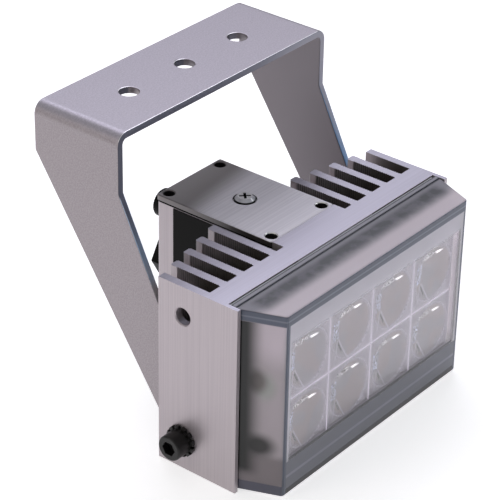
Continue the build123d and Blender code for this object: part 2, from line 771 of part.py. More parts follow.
with BuildPart() as vent_plug:
    with BuildSketch(vent_plane.offset(ring_thickness)):
        Circle(vent_flange_radius)
    extrude(amount=vent_flange)
    with BuildSketch(vent_plane.offset(ring_thickness)):
        Circle(vent_radius)
    extrude(amount=vent_reach - ring_thickness)
    chamfer(vent_plug.edges().filter_by(GeomType.CIRCLE).sort_by(Axis.Y)[-1], vent_bevel)
    with BuildSketch(vent_plane.offset(ring_thickness)):
        Circle(vent_thread_radius)
    extrude(amount=-ring_thickness - thread_length)
save(vent_plug, "vent_plug")

# Plain black film on the left wall of the chamber
film_front = base_rear + film_front_margin
film_rear = chamber_rear - film_rear_margin
with BuildPart() as wall_film:
    with BuildSketch(Plane(origin=(-chamber_half_width, 0, 0), x_dir=(0, -1, 0), z_dir=(-1, 0, 0))):
        with Locations((-(film_front + film_rear) / 2, middle_z)):
            Rectangle(film_rear - film_front, head_height - 2 * recess - 2 * film_end_margin)
    extrude(amount=film_thickness)
save(wall_film, "wall_film")
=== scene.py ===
import json
import math
import bpy
from mathutils import Matrix, Vector


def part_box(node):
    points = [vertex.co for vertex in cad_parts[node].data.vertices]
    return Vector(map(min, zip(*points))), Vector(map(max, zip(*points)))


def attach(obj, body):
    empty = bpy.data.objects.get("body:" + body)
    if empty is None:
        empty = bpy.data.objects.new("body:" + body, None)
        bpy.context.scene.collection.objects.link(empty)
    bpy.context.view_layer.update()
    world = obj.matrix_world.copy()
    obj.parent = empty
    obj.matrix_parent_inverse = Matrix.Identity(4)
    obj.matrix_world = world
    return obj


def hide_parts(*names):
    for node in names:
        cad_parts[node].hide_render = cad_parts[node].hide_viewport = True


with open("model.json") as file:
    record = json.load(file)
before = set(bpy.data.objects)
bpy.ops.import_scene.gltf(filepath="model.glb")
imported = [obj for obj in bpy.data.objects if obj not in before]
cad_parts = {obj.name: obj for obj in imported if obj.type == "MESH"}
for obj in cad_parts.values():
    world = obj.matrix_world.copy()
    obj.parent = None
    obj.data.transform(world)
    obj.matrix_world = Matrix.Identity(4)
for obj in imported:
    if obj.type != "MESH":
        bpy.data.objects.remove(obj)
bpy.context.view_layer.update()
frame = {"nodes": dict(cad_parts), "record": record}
nodes = frame["nodes"]
bodies = {name: body for body, names in frame["record"]["behaviour"]["bodies"].items() for name in names}
mm = 0.001
print("frame loaded:", len(nodes), "nodes")

# How copies of the solids are made ready: what is merged, and what counts as flat, as an edge and as smooth
meshing = {
    "mergeMm": 0.002, "flatDegrees": 0.4, "edgeDegrees": 32, "edgeSegments": 2, "smoothDegrees": 35,
    "opticSmoothDegrees": 30, "normalWeight": 90,
}


def hexColour(text):  # sRGB hex to the linear values that sockets take
    values = [int(text[i:i + 2], 16) / 255 for i in (1, 3, 5)]
    return tuple(v / 12.92 if v <= 0.04045 else ((v + 0.055) / 1.055) ** 2.4 for v in values) + (1.0,)


def addNode(tree, kind, settings=None, links=None):  # one node with its values and its incoming links
    node = tree.nodes.new("ShaderNode" + kind)
    for key, value in (settings or {}).items():
        if isinstance(key, str) and hasattr(node, key):
            setattr(node, key, value)
        else:
            node.inputs[key].default_value = value
    for key, source in (links or {}).items():
        tree.links.new(source, node.inputs[key])
    return node


def newMaterial(name, settings):  # a Principled material with its fixed values
    material = bpy.data.materials.new(name)
    material.use_nodes = True
    tree = material.node_tree
    shader = tree.nodes["Principled BSDF"]
    for key, value in settings.items():
        shader.inputs[key].default_value = value
    return material, tree, shader


def patternCoordinates(tree, sizesMm):  # Object coordinates, in repeats of the given sizes
    place = addNode(tree, "TexCoord")
    scale = tuple(1 / (size * mm) for size in sizesMm)
    return addNode(tree, "Mapping", {"Scale": scale}, {"Vector": place.outputs["Object"]}).outputs[0]


def surface(tree, *names):  # place and normal as X, Y and Z, then the named ones without their sign
    coordinates = addNode(tree, "TexCoord")
    place = addNode(tree, "SeparateXYZ", links={0: coordinates.outputs["Object"]}).outputs
    normal = addNode(tree, "SeparateXYZ", links={0: coordinates.outputs["Normal"]}).outputs
    signed = {"across": place["X"], "sideways": normal["X"], "lengthways": normal["Y"], "upright": normal["Z"]}
    sizes = [addNode(tree, "Math", {"operation": "ABSOLUTE"}, {0: signed[name]}).outputs[0] for name in names]
    return [place, normal] + sizes


def outwardFacing(tree, place, normal):  # the normal's X, positive where it points away from the part's middle
    side = addNode(tree, "Math", {"operation": "SIGN"}, {0: place["X"]})
    return addNode(tree, "Math", {"operation": "MULTIPLY"}, {0: side.outputs[0], 1: normal["X"]}).outputs[0]


def softMask(tree, *steps):  # product of masks and of soft steps, each (value, start, end) and its two levels
    product = None
    for step in steps:
        if isinstance(step, tuple):
            value, start, end, low, high = step if len(step) == 5 else step + (0.0, 1.0)
            step = addNode(tree, "MapRange", {
                "interpolation_type": "SMOOTHSTEP", "From Min": start, "From Max": end, "To Min": low, "To Max": high,
            }, {"Value": value}).outputs[0]
        if product is not None:
            step = addNode(tree, "Math", {"operation": "MULTIPLY"}, {0: product, 1: step}).outputs[0]
        product = step
    return product


def paint(tree, under, *layers):  # colours laid over one another, each layer a mask and a colour
    for mask, colour in layers:
        mix = addNode(tree, "Mix", {"data_type": "RGBA"}, {0: mask})
        for socket, tone in ((mix.inputs[6], under), (mix.inputs[7], colour)):
            if isinstance(tone, bpy.types.NodeSocket):
                tree.links.new(tone, socket)
            else:
                socket.default_value = hexColour(tone) if isinstance(tone, str) else tone
        under = mix.outputs[2]
    return under


def dress(material, *names):
    for name in names:
        obj = nodes[name]
        obj.data.materials.clear()
        obj.data.materials.append(material)


def selectOnly(obj):
    bpy.ops.object.select_all(action="DESELECT")
    obj.select_set(True)
    bpy.context.view_layer.objects.active = obj


def applyModifier(obj, kind, settings):
    selectOnly(obj)
    bpy.ops.object.modifier_add(type=kind)
    modifier = obj.modifiers[-1]
    for key, value in settings.items():
        setattr(modifier, key, value)
    bpy.ops.object.modifier_apply(modifier=modifier.name)


def mergedCopy(node, pieceName):  # the node's form as one joined mesh, ready to be worked on
    piece = bpy.data.objects.new(pieceName, nodes[node].data.copy())
    bpy.context.scene.collection.objects.link(piece)
    piece.data.materials.clear()
    selectOnly(piece)
    bpy.ops.mesh.customdata_custom_splitnormals_clear()
    bpy.ops.object.mode_set(mode="EDIT")
    bpy.ops.mesh.select_all(action="SELECT")
    bpy.ops.mesh.remove_doubles(threshold=meshing["mergeMm"] * mm)
    bpy.ops.mesh.dissolve_limited(angle_limit=math.radians(meshing["flatDegrees"]))
    bpy.ops.object.mode_set(mode="OBJECT")
    return piece


def breakEdges(piece, edgeMm, clamp=True):
    applyModifier(piece, "BEVEL", {
        "width": edgeMm * mm, "segments": meshing["edgeSegments"], "limit_method": "ANGLE",
        "angle_limit": math.radians(meshing["edgeDegrees"]), "use_clamp_overlap": clamp,
    })


def finishPiece(piece, node, material, smoothDegrees):  # shading, material, and what the piece stands for
    selectOnly(piece)
    bpy.ops.object.shade_smooth_by_angle(angle=math.radians(smoothDegrees))
    applyModifier(piece, "WEIGHTED_NORMAL", {"keep_sharp": True, "weight": meshing["normalWeight"]})
    piece.data.materials.append(material)
    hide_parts(node)
    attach(piece, bodies[node])


def softenedCopy(node, pieceName, material, edgeMm, clamp=True):  # the node's form with its sharp edges broken
    piece = mergedCopy(node, pieceName)
    breakEdges(piece, edgeMm, clamp)
    finishPiece(piece, node, material, meshing["smoothDegrees"])


# Camera at the photograph's viewing angle
cameraLook = {
    "azimuth": -51.673, "elevation": 30.452, "roll": 1.180,
    "lensMm": 157.75, "sensorMm": 36.0, "distance": 0.81835, "target": (0.0, 0.00374, 0.0557),
}


def addCamera(look):
    turn = Matrix.Rotation(math.radians(look["azimuth"]), 4, "Z")
    tilt = Matrix.Rotation(math.radians(90 - look["elevation"]), 4, "X")
    roll = Matrix.Rotation(math.radians(look["roll"]), 4, "Z")
    data = bpy.data.cameras.new("camera")
    data.lens = look["lensMm"]
    data.sensor_width = look["sensorMm"]
    camera = bpy.data.objects.new("camera", data)
    turned = turn @ tilt @ roll
    camera.matrix_world = Matrix.Translation(Vector(look["target"])) @ turned
    camera.location = Vector(look["target"]) + turned.to_3x3() @ Vector((0, 0, look["distance"]))
    bpy.context.scene.collection.objects.link(camera)
    bpy.context.scene.camera = camera


addCamera(cameraLook)
print("camera placed")

# Studio: white floor, soft lamps above and behind, and a darker room low down and towards the front
studio = {
    "floorColour": "#f4f4f6", "floorRoughness": 0.9, "floorGlow": 0.16, "floorSeen": 0.62, "floorSize": 6.0,
    "skyTop": "#ffffff", "skyLow": "#8e8f96", "skyFront": "#3f4858", "skySeen": "#ffffff", "skyStrength": 0.38,
    "skyRise": (-0.05, 0.60), "frontWay": (0.68, -0.72, 0.12), "frontSpread": (0.45, 0.95), "aim": (0.0, 0.0, 0.05),
    "lamps": (  # name, place and width in metres, power in watts, colour
        ("topLamp", (0.55, 0.60, 1.15), 1.0, 7.1, "#f3f2ff"),
        ("leftLamp", (-1.25, 0.55, 0.60), 0.7, 2.4, "#fff3ec"),
        ("rimLamp", (1.01, -0.76, 0.80), 0.14, 1.3, "#ffffff"),
        ("windowLamp", (1.01, -1.09, 0.17), 0.50, 1.5, "#8fc0ee"),
    ),
}


def addFloor(look):
    bpy.ops.object.select_all(action="DESELECT")
    bpy.ops.mesh.primitive_plane_add(size=look["floorSize"], location=(0, 0, 0))
    floor = bpy.context.object
    floor.name = "floor"
    material, tree, shader = newMaterial("floorPaper", {
        "Base Color": hexColour(look["floorColour"]), "Roughness": look["floorRoughness"], "Specular IOR Level": 0.0,
        "Emission Color": (1, 1, 1, 1),
    })
    path = addNode(tree, "LightPath")
    mirrored = addNode(tree, "Math", {"operation": "MAXIMUM"}, {
        0: path.outputs["Is Glossy Ray"], 1: path.outputs["Is Transmission Ray"]})
    seen = addNode(tree, "Math", {"operation": "MAXIMUM"}, {0: path.outputs["Is Camera Ray"], 1: mirrored.outputs[0]})
    glow = addNode(tree, "MapRange", {"To Min": look["floorGlow"], "To Max": look["floorSeen"]},
                   {"Value": seen.outputs[0]})
    tree.links.new(glow.outputs[0], shader.inputs["Emission Strength"])
    floor.data.materials.append(material)


def addLamps(look):
    for name, place, width, power, colour in look["lamps"]:
        data = bpy.data.lights.new(name, "AREA")
        data.shape = "SQUARE"
        data.size = width
        data.energy = power
        data.color = hexColour(colour)[:3]
        lamp = bpy.data.objects.new(name, data)
        lamp.location = place
        lamp.rotation_euler = (Vector(look["aim"]) - Vector(place)).to_track_quat("-Z", "Y").to_euler()
        bpy.context.scene.collection.objects.link(lamp)


def addSky(look):
    world = bpy.data.worlds.new("studioWorld")
    bpy.context.scene.world = world
    world.use_nodes = True
    tree = world.node_tree
    background = tree.nodes["Background"]
    way = addNode(tree, "TexCoord").outputs["Generated"]
    height = addNode(tree, "SeparateXYZ", links={0: way}).outputs["Z"]
    towards = addNode(tree, "VectorMath", {"operation": "DOT_PRODUCT", 1: look["frontWay"]}, {0: way}).outputs["Value"]
    isSeen = addNode(tree, "LightPath").outputs["Is Camera Ray"]
    tone = paint(tree, look["skyLow"],
                 (softMask(tree, (height, *look["skyRise"])), look["skyTop"]),
                 (softMask(tree, (towards, *look["frontSpread"])), look["skyFront"]),
                 (isSeen, look["skySeen"]))
    tree.links.new(tone, background.inputs["Color"])
    strength = addNode(tree, "MapRange", {"To Min": look["skyStrength"], "To Max": 1.0}, {"Value": isSeen})
    tree.links.new(strength.outputs[0], background.inputs["Strength"])
    bpy.context.scene.view_settings.view_transform = "Standard"


addFloor(studio)
addLamps(studio)
addSky(studio)
print("studio lit")

# Heatsink: extruded aluminium, clear anodised. Its flanks keep the fine lines of the die along Z, and its
# sawn ends are brushed along X. Deep in the ribbed channels the flanks are painted dark as shade, and the rib
# sides facing back are painted darker still as shade
heatsinkLook = {
    "end": "#c4c1cf", "endDark": "#bab7c5", "flank": "#c4bbbf", "flankDark": "#b7aeb3", "channelShade": "#746c68",
    "ribShade": "#262322", "channelInnerMm": 22.0, "channelOuterMm": 59.3, "channelSoftMm": 0.1,
    "lightFromMm": -4.0, "darkFromMm": -22.0, "lineMm": 0.6, "lineLengthMm": 80.0, "lineSpread": (0.3, 0.7),
    "endFacing": (0.70, 0.72), "ribFacing": (0.2, 0.4), "ribBackFacing": (0.20, 0.45),
    "metallic": 0.55, "roughness": (0.33, 0.45), "bump": 0.03, "bumpMm": 0.05,
}


def anodisedExtrusion(name, look):
    material, tree, shader = newMaterial(name, {"Metallic": look["metallic"]})
    place, normal, across, sideways, upright = surface(tree, "across", "sideways", "upright")
    isEnd = softMask(tree, (upright, *look["endFacing"]))
    line, length = look["lineMm"], look["lineLengthMm"]
    drawn, brushed = (
        addNode(tree, "TexNoise", {"Scale": 1.0, "Detail": 3.0, "Roughness": 0.6},
                {"Vector": patternCoordinates(tree, sizes)}).outputs["Fac"]
        for sizes in ((line, line, length), (length, line, line)))
    grain = addNode(tree, "Mix", {"data_type": "FLOAT"}, {0: isEnd, 2: drawn, 3: brushed}).outputs[0]
    start, end = look["lineSpread"]
    spread = addNode(tree, "MapRange", {"From Min": start, "From Max": end}, {"Value": grain}).outputs[0]
    inner, outer, soft = (look[key] * mm for key in ("channelInnerMm", "channelOuterMm", "channelSoftMm"))
    inChannel = softMask(tree, (across, inner, inner + soft), (across, outer + soft, outer))
    # painted shade: the flanks darken deep in the channels, and the rib sides facing back are darker still
    isShadedDeep = softMask(tree, inChannel, (place["Y"], look["lightFromMm"] * mm, look["darkFromMm"] * mm))
    isRibBack = softMask(tree, inChannel, (sideways, *look["ribFacing"]), (normal["Y"], *look["ribBackFacing"]))
    flank = paint(tree, look["flankDark"], (spread, look["flank"]), (isShadedDeep, look["channelShade"]),
                  (isRibBack, look["ribShade"]))
    cutEnd = paint(tree, look["endDark"], (spread, look["end"]))
    tree.links.new(paint(tree, flank, (isEnd, cutEnd)), shader.inputs["Base Color"])
    low, high = look["roughness"]
    rough = addNode(tree, "MapRange", {"To Min": low, "To Max": high}, {"Value": grain})
    tree.links.new(rough.outputs[0], shader.inputs["Roughness"])
    bump = addNode(tree, "Bump", {"Strength": look["bump"], "Distance": look["bumpMm"] * mm}, {"Height": grain})
    tree.links.new(bump.outputs[0], shader.inputs["Normal"])
    return material


dress(anodisedExtrusion("anodisedExtrusion", heatsinkLook), "heatsink")

# Lids: sheet aluminium with a satin anodised face, smoother than the extrusion. Its face is painted darker towards
# its rear edge as a painted dark reflection, and its side faces are painted darker towards the front as shade.
# The rims of the two front holes carry a painted highlight, and the walls of all the holes have painted shade
lidLook = {
    "light": "#f8f5ff", "lineDark": "#eae7f2", "dark": "#7c7778", "sideFrontShade": "#3f3a3a", "sideRear": "#a9a3a3",
    "holeShade": "#1c1a1a", "rimHighlight": "#ffffff", "toneMm": (11.0, 24.0), "toneSlant": -0.15, "sideToneMm": (-12.0, 24.0),
    "marginMm": 0.8, "softMm": 0.1, "frontHolesMm": (3.0, 2.0), "lineMm": 0.6, "lineLengthMm": 50.0,
    "lineSpread": (0.35, 0.65), "rimFacing": ((0.25, 0.45), (0.97, 0.90)), "sideFacing": (0.5, 0.3),
    "roughness": (0.36, 0.46), "bevelRoughness": 0.28, "bump": 0.01, "bumpMm": 0.05, "edgeMm": 0.40,
}


def satinSheet(name, look):
    material, tree, shader = newMaterial(name, {})
    place, normal, across, upright = surface(tree, "across", "upright")
    y = place["Y"]
    lines = addNode(tree, "TexNoise", {"Scale": 1.0, "Detail": 3.0}, {
        "Vector": patternCoordinates(tree, (look["lineLengthMm"], look["lineMm"], look["lineMm"]))}).outputs["Fac"]
    back = addNode(tree, "Math", {"operation": "MULTIPLY_ADD", 1: look["toneSlant"]}, {0: place["X"], 2: y}).outputs[0]
    low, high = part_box("top_lid")
    margin, soft = look["marginMm"] * mm, look["softMm"] * mm
    inside = softMask(tree, (across, high.x - margin, high.x - margin - soft),
                      (y, low.y + margin, low.y + margin + soft))  # off the lid's outer edges
    atHoles = softMask(tree, inside, (y, high.y - margin, high.y - margin - soft))
    # painted highlight: the rims of the two front holes are white, metallic and smoother
    isRimHighlight = softMask(tree, *((upright, *limits) for limits in look["rimFacing"]), inside,
                     (y, *(limit * mm for limit in look["frontHolesMm"])))
    # painted shade: the side faces darken towards the front, and the walls of the holes are dark
    side = paint(tree, look["sideFrontShade"],
                 (softMask(tree, (y, *(limit * mm for limit in look["sideToneMm"]))), look["sideRear"]),
                 (atHoles, look["holeShade"]))
    # painted dark reflection: the face darkens towards its rear edge
    colour = paint(tree, look["lineDark"],
                   (softMask(tree, (lines, *look["lineSpread"])), look["light"]),
                   (softMask(tree, (back, *(limit * mm for limit in look["toneMm"]))), look["dark"]),
                   (isRimHighlight, look["rimHighlight"]),
                   (softMask(tree, (upright, *look["sideFacing"])), side))
    tree.links.new(colour, shader.inputs["Base Color"])
    tree.links.new(isRimHighlight, shader.inputs["Metallic"])
    smooth, coarse = look["roughness"]
    rough = addNode(tree, "MapRange", {"To Min": smooth, "To Max": coarse}, {"Value": lines})
    worn = addNode(tree, "Mix", {"data_type": "FLOAT", 3: look["bevelRoughness"]}, {0: isRimHighlight, 2: rough.outputs[0]})
    tree.links.new(worn.outputs[0], shader.inputs["Roughness"])
    bump = addNode(tree, "Bump", {"Strength": look["bump"], "Distance": look["bumpMm"] * mm}, {"Height": lines})
    tree.links.new(bump.outputs[0], shader.inputs["Normal"])
    return material


lidFinish = satinSheet("satinAnodisedSheet", lidLook)
for lid in ("top_lid", "bottom_lid"):
    softenedCopy(lid, lid + "_plate", lidFinish, lidLook["edgeMm"])

# Yoke: sheet aluminium, bead blasted and anodised, which leaves a fine sparkling grain. Its top is painted a little
# lighter than its sides as light from above, and its inner faces and underside are painted darker as shade. Its cut
# front edges are painted dark as shade, lighter towards the right arm, with a painted blue reflection on the slanted
# ones that gives way to a painted lighter grey towards the pivots, and the top's front rim carries a painted white
# highlight
yokeLook = {
    "top": "#bab5bf", "topDark": "#aaa5af", "face": "#aea6aa", "faceDark": "#9d9599", "inside": "#837d82",
    "edge": "#666672", "edgeFar": "#94929c", "rim": "#ffffff", "blueReflectionLeft": "#dceaff", "blueReflectionRight": "#7296bb",
    "slantLitLow": "#e0dbdd", "slantFromMm": (99.0, 97.0), "slantFadeMm": (66.0, 71.0), "rimFromMm": (118.0, 120.0),
    "farMm": 60.0, "grainMm": 0.55, "grainSpread": (0.35, 0.65),
    "topFacing": (0.2, 0.8), "insideFacing": (-0.2, -0.6), "edgeFacing": (-0.60, -0.80), "slantFacing": (0.20, 0.30),
    "rimFrontFacing": (-0.12, -0.30), "rimTopFacing": (0.35, 0.50),
    "metallic": 0.55, "roughness": 0.42, "rimRoughness": 0.28, "bump": 0.22, "bumpMm": 0.03, "edgeMm": 0.5,
}


def blastedSheet(name, look):
    material, tree, shader = newMaterial(name, {})
    place, normal = surface(tree)
    x, z, level = place["X"], place["Z"], normal["Z"]
    grain = addNode(tree, "TexNoise", {"Scale": 1.0, "Detail": 2.0}, {
        "Vector": patternCoordinates(tree, (look["grainMm"],) * 3)}).outputs["Fac"]
    start, end = look["grainSpread"]
    spread = addNode(tree, "MapRange", {"From Min": start, "From Max": end}, {"Value": grain}).outputs[0]
    isShadedInside = softMask(tree, (outwardFacing(tree, place, normal), *look["insideFacing"]))
    isTop, isShadedUnder = softMask(tree, (level, *look["topFacing"])), softMask(tree, (level, *look["insideFacing"]))
    isEdge = softMask(tree, (normal["Y"], *look["edgeFacing"]))
    isSlant = softMask(tree, (level, *look["slantFacing"]), (z, *(limit * mm for limit in look["slantFromMm"])))
    isHigh = softMask(tree, (z, *(limit * mm for limit in look["slantFadeMm"])))
    # painted highlight: the top's front rim is white, fully metallic and smoother
    isRimHighlight = softMask(tree, (normal["Y"], *look["rimFrontFacing"]), (level, *look["rimTopFacing"]),
                     (z, *(limit * mm for limit in look["rimFromMm"])))
    far = softMask(tree, (x, 0.0, look["farMm"] * mm))
    top = paint(tree, look["topDark"], (spread, look["top"]))
    # painted blue reflection on the slanted front edges, with painted lighter grey below it; painted shade on the other
    # cut front edges, lighter towards the right arm
    slantReflection = paint(tree, look["slantLitLow"], (isHigh, paint(tree, look["blueReflectionLeft"], (far, look["blueReflectionRight"]))))
    edge = paint(tree, look["edge"], (far, look["edgeFar"]), (isSlant, slantReflection))
    # painted light and shade: the top lighter than the sides, the inner faces and the underside darker
    colour = paint(tree, look["faceDark"], (spread, look["face"]), (isShadedInside, look["inside"]),
                   (isTop, top), (isShadedUnder, look["inside"]), (isEdge, edge), (isRimHighlight, look["rim"]))
    tree.links.new(colour, shader.inputs["Base Color"])
    tree.links.new(softMask(tree, (isRimHighlight, 0.0, 1.0, look["metallic"], 1.0)), shader.inputs["Metallic"])
    rough = softMask(tree, (isRimHighlight, 0.0, 1.0, look["roughness"], look["rimRoughness"]))
    tree.links.new(rough, shader.inputs["Roughness"])
    bump = addNode(tree, "Bump", {"Strength": look["bump"], "Distance": look["bumpMm"] * mm}, {"Height": grain})
    tree.links.new(bump.outputs[0], shader.inputs["Normal"])
    return material


softenedCopy("yoke_bracket", "yoke_sheet", blastedSheet("blastedSheet", yokeLook), yokeLook["edgeMm"], False)
print("metal finished")

# Small parts: base colour, roughness, metallic and specular level of each finish
smallLooks = {
    "blackOxide": ("#100f0e", 0.40, 0.0, 0.40), "brightSteel": ("#e6e7ec", 0.30, 0.6, 0.50),
    "blackRubber": ("#050505", 0.70, 0.0, 0.10), "blackNylon": ("#020202", 0.45, 0.0, 0.10),
    "glossFilm": ("#060504", 0.35, 0.0, 0.08), "paleBond": ("#c4c6cc", 0.60, 0.0, 0.40),
    "greyPad": ("#9a9ca0", 0.70, 0.0, 0.30), "whiteMask": ("#ddd8da", 0.45, 0.0, 0.40),
    "greenMask": ("#1d5230", 0.35, 0.0, 0.50), "mouldedPart": ("#2c6a3c", 0.50, 0.0, 0.40),
    "coatedCore": ("#202020", 0.60, 0.0, 0.40), "shrunkSleeve": ("#15152e", 0.30, 0.0, 0.50),
    "redSheath": ("#a01616", 0.45, 0.0, 0.40), "phosphor": ("#d9cf9c", 0.40, 0.0, 0.30),
}
speckle = {"sizeMm": 1.5, "lighter": 1.25, "lift": 0.001, "roughness": (-0.06, 0.08)}


def speckled(name, colour, roughness, metallic, specular):  # a plain finish with a fine uneven tone
    material, tree, shader = newMaterial(name, {"Metallic": metallic, "Specular IOR Level": specular})
    noise = addNode(tree, "TexNoise", {"Scale": 1.0, "Detail": 4.0}, {
        "Vector": patternCoordinates(tree, (speckle["sizeMm"],) * 3)}).outputs["Fac"]
    light = tuple(min(1.0, v * speckle["lighter"] + speckle["lift"]) for v in hexColour(colour)[:3]) + (1.0,)
    tree.links.new(paint(tree, colour, (noise, light)), shader.inputs["Base Color"])
    low, high = (roughness + change for change in speckle["roughness"])
    rough = addNode(tree, "MapRange", {"To Min": low, "To Max": high}, {"Value": noise})
    tree.links.new(rough.outputs[0], shader.inputs["Roughness"])
    return material


small = {name: speckled(name, *values) for name, values in smallLooks.items()}

# Lid screw: bright rolled steel, with painted shade in its recess and round the foot of its head, and its sloping side
# painted a little darker than its top
screwLook = {
    "top": "#f4f4f8", "slope": "#dcdce2", "shade": "#19191b", "recessMm": 2.7, "recessSoftMm": 0.05, "skinMm": 0.15,
    "headMm": 3.9, "footMm": 0.1, "slopeFacing": (0.95, 0.80), "roughness": 0.30, "metallic": 0.3,
}


def panHead(name, look):
    material, tree, shader = newMaterial(name, {"Metallic": look["metallic"], "Roughness": look["roughness"]})
    place, normal = surface(tree)
    low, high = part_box("top_lid_screw")
    middle = (low + high) / 2
    flat = addNode(tree, "CombineXYZ", {}, {0: place["X"], 1: place["Y"]}).outputs[0]
    far = addNode(tree, "VectorMath", {"operation": "DISTANCE", 1: (middle.x, middle.y, 0.0)}, {0: flat})
    far = far.outputs["Value"]
    recess, recessSoft, skin, head, foot = (
        look[key] * mm for key in ("recessMm", "recessSoftMm", "skinMm", "headMm", "footMm"))
    isShadedRecess = softMask(tree, (far, recess, recess - recessSoft), (place["Z"], high.z - skin, high.z - 2 * skin))
    # painted shade in the recess and round the foot of the head, and a slightly darker sloping side
    colour = paint(tree, look["top"],
                   (softMask(tree, (normal["Z"], *look["slopeFacing"])), look["slope"]),
                   (isShadedRecess, look["shade"]),
                   (softMask(tree, (far, head - foot, head)), look["shade"]))
    tree.links.new(colour, shader.inputs["Base Color"])
    return material


dress(panHead("panHeadSteel", screwLook), "top_lid_screw")
dress(small["brightSteel"], "lid_post", "board_screws", "bottom_lid_screw")
dress(small["blackRubber"], "top_gasket", "bottom_gasket", "gland_seal", "gland_ring", "vent_ring", "lead_sleeve")
dress(small["blackNylon"], "gland_lock_nut", "vent_lock_nut")
dress(small["glossFilm"], "wall_film")
dress(small["paleBond"], "cover_gasket")
dress(small["greyPad"], "thermal_pad")
dress(small["whiteMask"], "light_board")
dress(small["greenMask"], "driver_board")
dress(small["mouldedPart"], "lead_header", "supply_terminal")
dress(small["coatedCore"], "driver_choke")
dress(small["shrunkSleeve"], "driver_capacitor_1", "driver_capacitor_2")
dress(small["redSheath"], "light_lead")
dress(small["phosphor"], *[f"emitter_{i}" for i in range(1, 9)])

# Fittings that show, with their edges broken as turned, moulded and cold-headed parts have them
fittingEdges = {  # node: finish, width of the broken edge in mm
    "left_pivot_bolt": ("blackOxide", 0.25), "right_pivot_bolt": ("blackOxide", 0.25),
    "left_toothed_washer": ("blackOxide", 0.12), "right_toothed_washer": ("blackOxide", 0.12),
    "gland_body": ("blackNylon", 0.30), "gland_nut": ("blackNylon", 0.30), "vent_plug": ("blackNylon", 0.25),
}
for node, (finish, edgeMm) in fittingEdges.items():
    softenedCopy(node, node + "_finished", small[finish], edgeMm)
print("small parts finished")

# Cover: injection-moulded clear polycarbonate. Its front is polished, and its drafted side walls are matt from the
# mould, so they blur what lies behind them. A blue-grey band is painted along the front's border, where the thick
# walls are seen edge-on. Painted light fills the frame round the optics and glows faintly from the side walls' inner
# faces; painted shade lies in the foot below the optics and on the side walls, and a painted dark reflection of the
# heatsink's front lies on the top wall
coverLook = {
    "clear": "#faf8fb", "clearPass": 0.99, "clearRoughness": 0.02, "frame": "#f3eef5", "framePass": 0.35,
    "band": "#646b7d", "bandLine": "#8a91a2", "bandPass": 0.20, "bandMm": 3.9, "bandLineAt": (0.55, 0.40),
    "sideBandMm": 0.9, "foot": "#83838f", "footLine": "#a3a3b2", "footEdge": "#2b2932", "footPass": 0.25,
    "footMm": 2.3, "footRiseMm": 1.9, "arrayMarginMm": 1.2, "softMm": 0.25, "ior": 1.49, "edgeMm": 0.35,
    "wallLight": "#ebe0e8", "wallRear": "#918f9b", "rearReflectionDark": "#3d3f48", "wallMiddle": "#cdc4c9",
    "wallLow": "#9b9296", "wallFoot": "#5b5b6b", "flange": "#a9a8b4", "grooveShadeLine": "#3a3a44", "lipShade": "#0a0a0b",
    "wallPass": 0.30, "wallRoughness": 0.30, "paintedInnerGlow": 0.17,
    # the next ones are from the flange's rear forwards
    "stripRiseMm": (2.8, 5.4), "stripFallMm": (13.5, 7.2), "rearToneMm": (14.0, 7.0), "lipShadeMm": (12.6, 5.8),
    "flangeMm": 2.1, "flangeLineMm": 0.45,
    "stripEndMm": (4.0, -1.0), "mottleMm": 5.0, "mottleSpread": (0.35, 0.60), "mottleDepth": (0.70, 1.0),
    "middleToneMm": (-8.0, -20.0), "lowToneMm": (18.0, 14.0), "lipShadeRiseMm": (5.0, 10.0), "wallFootMm": 3.9,
    "wallFacing": (0.55, 0.75), "stripFacing": (0.5, 0.7), "outsideFacing": (0.3, 0.6), "insideFacing": (-0.3, -0.6),
    "frontFacing": (0.90, 0.97), "faceMm": 0.05,
    "paleBlob": "#b0b2af", "shadeBlob": "#2c292a", "shadeSpot": "#77706f", "spotFade": (1.45, 0.40),
    "spotsMm": (("paleBlob", (12.5, 45.0), (3.6, 5.5)), ("shadeBlob", (10.6, 20.0), (5.8, 4.8)),
                ("shadeSpot", (9.6, 47.0), (3.6, 5.0))),  # place from the rear and the bottom, and reach
}


def frontOutline(look):  # the cover's front face: half its width, its bottom and its top
    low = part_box("front_cover")[0]
    face = [v.co for v in nodes["front_cover"].data.vertices if v.co.y < low.y + look["faceMm"] * mm]
    return max(p.x for p in face), min(p.z for p in face), max(p.z for p in face)


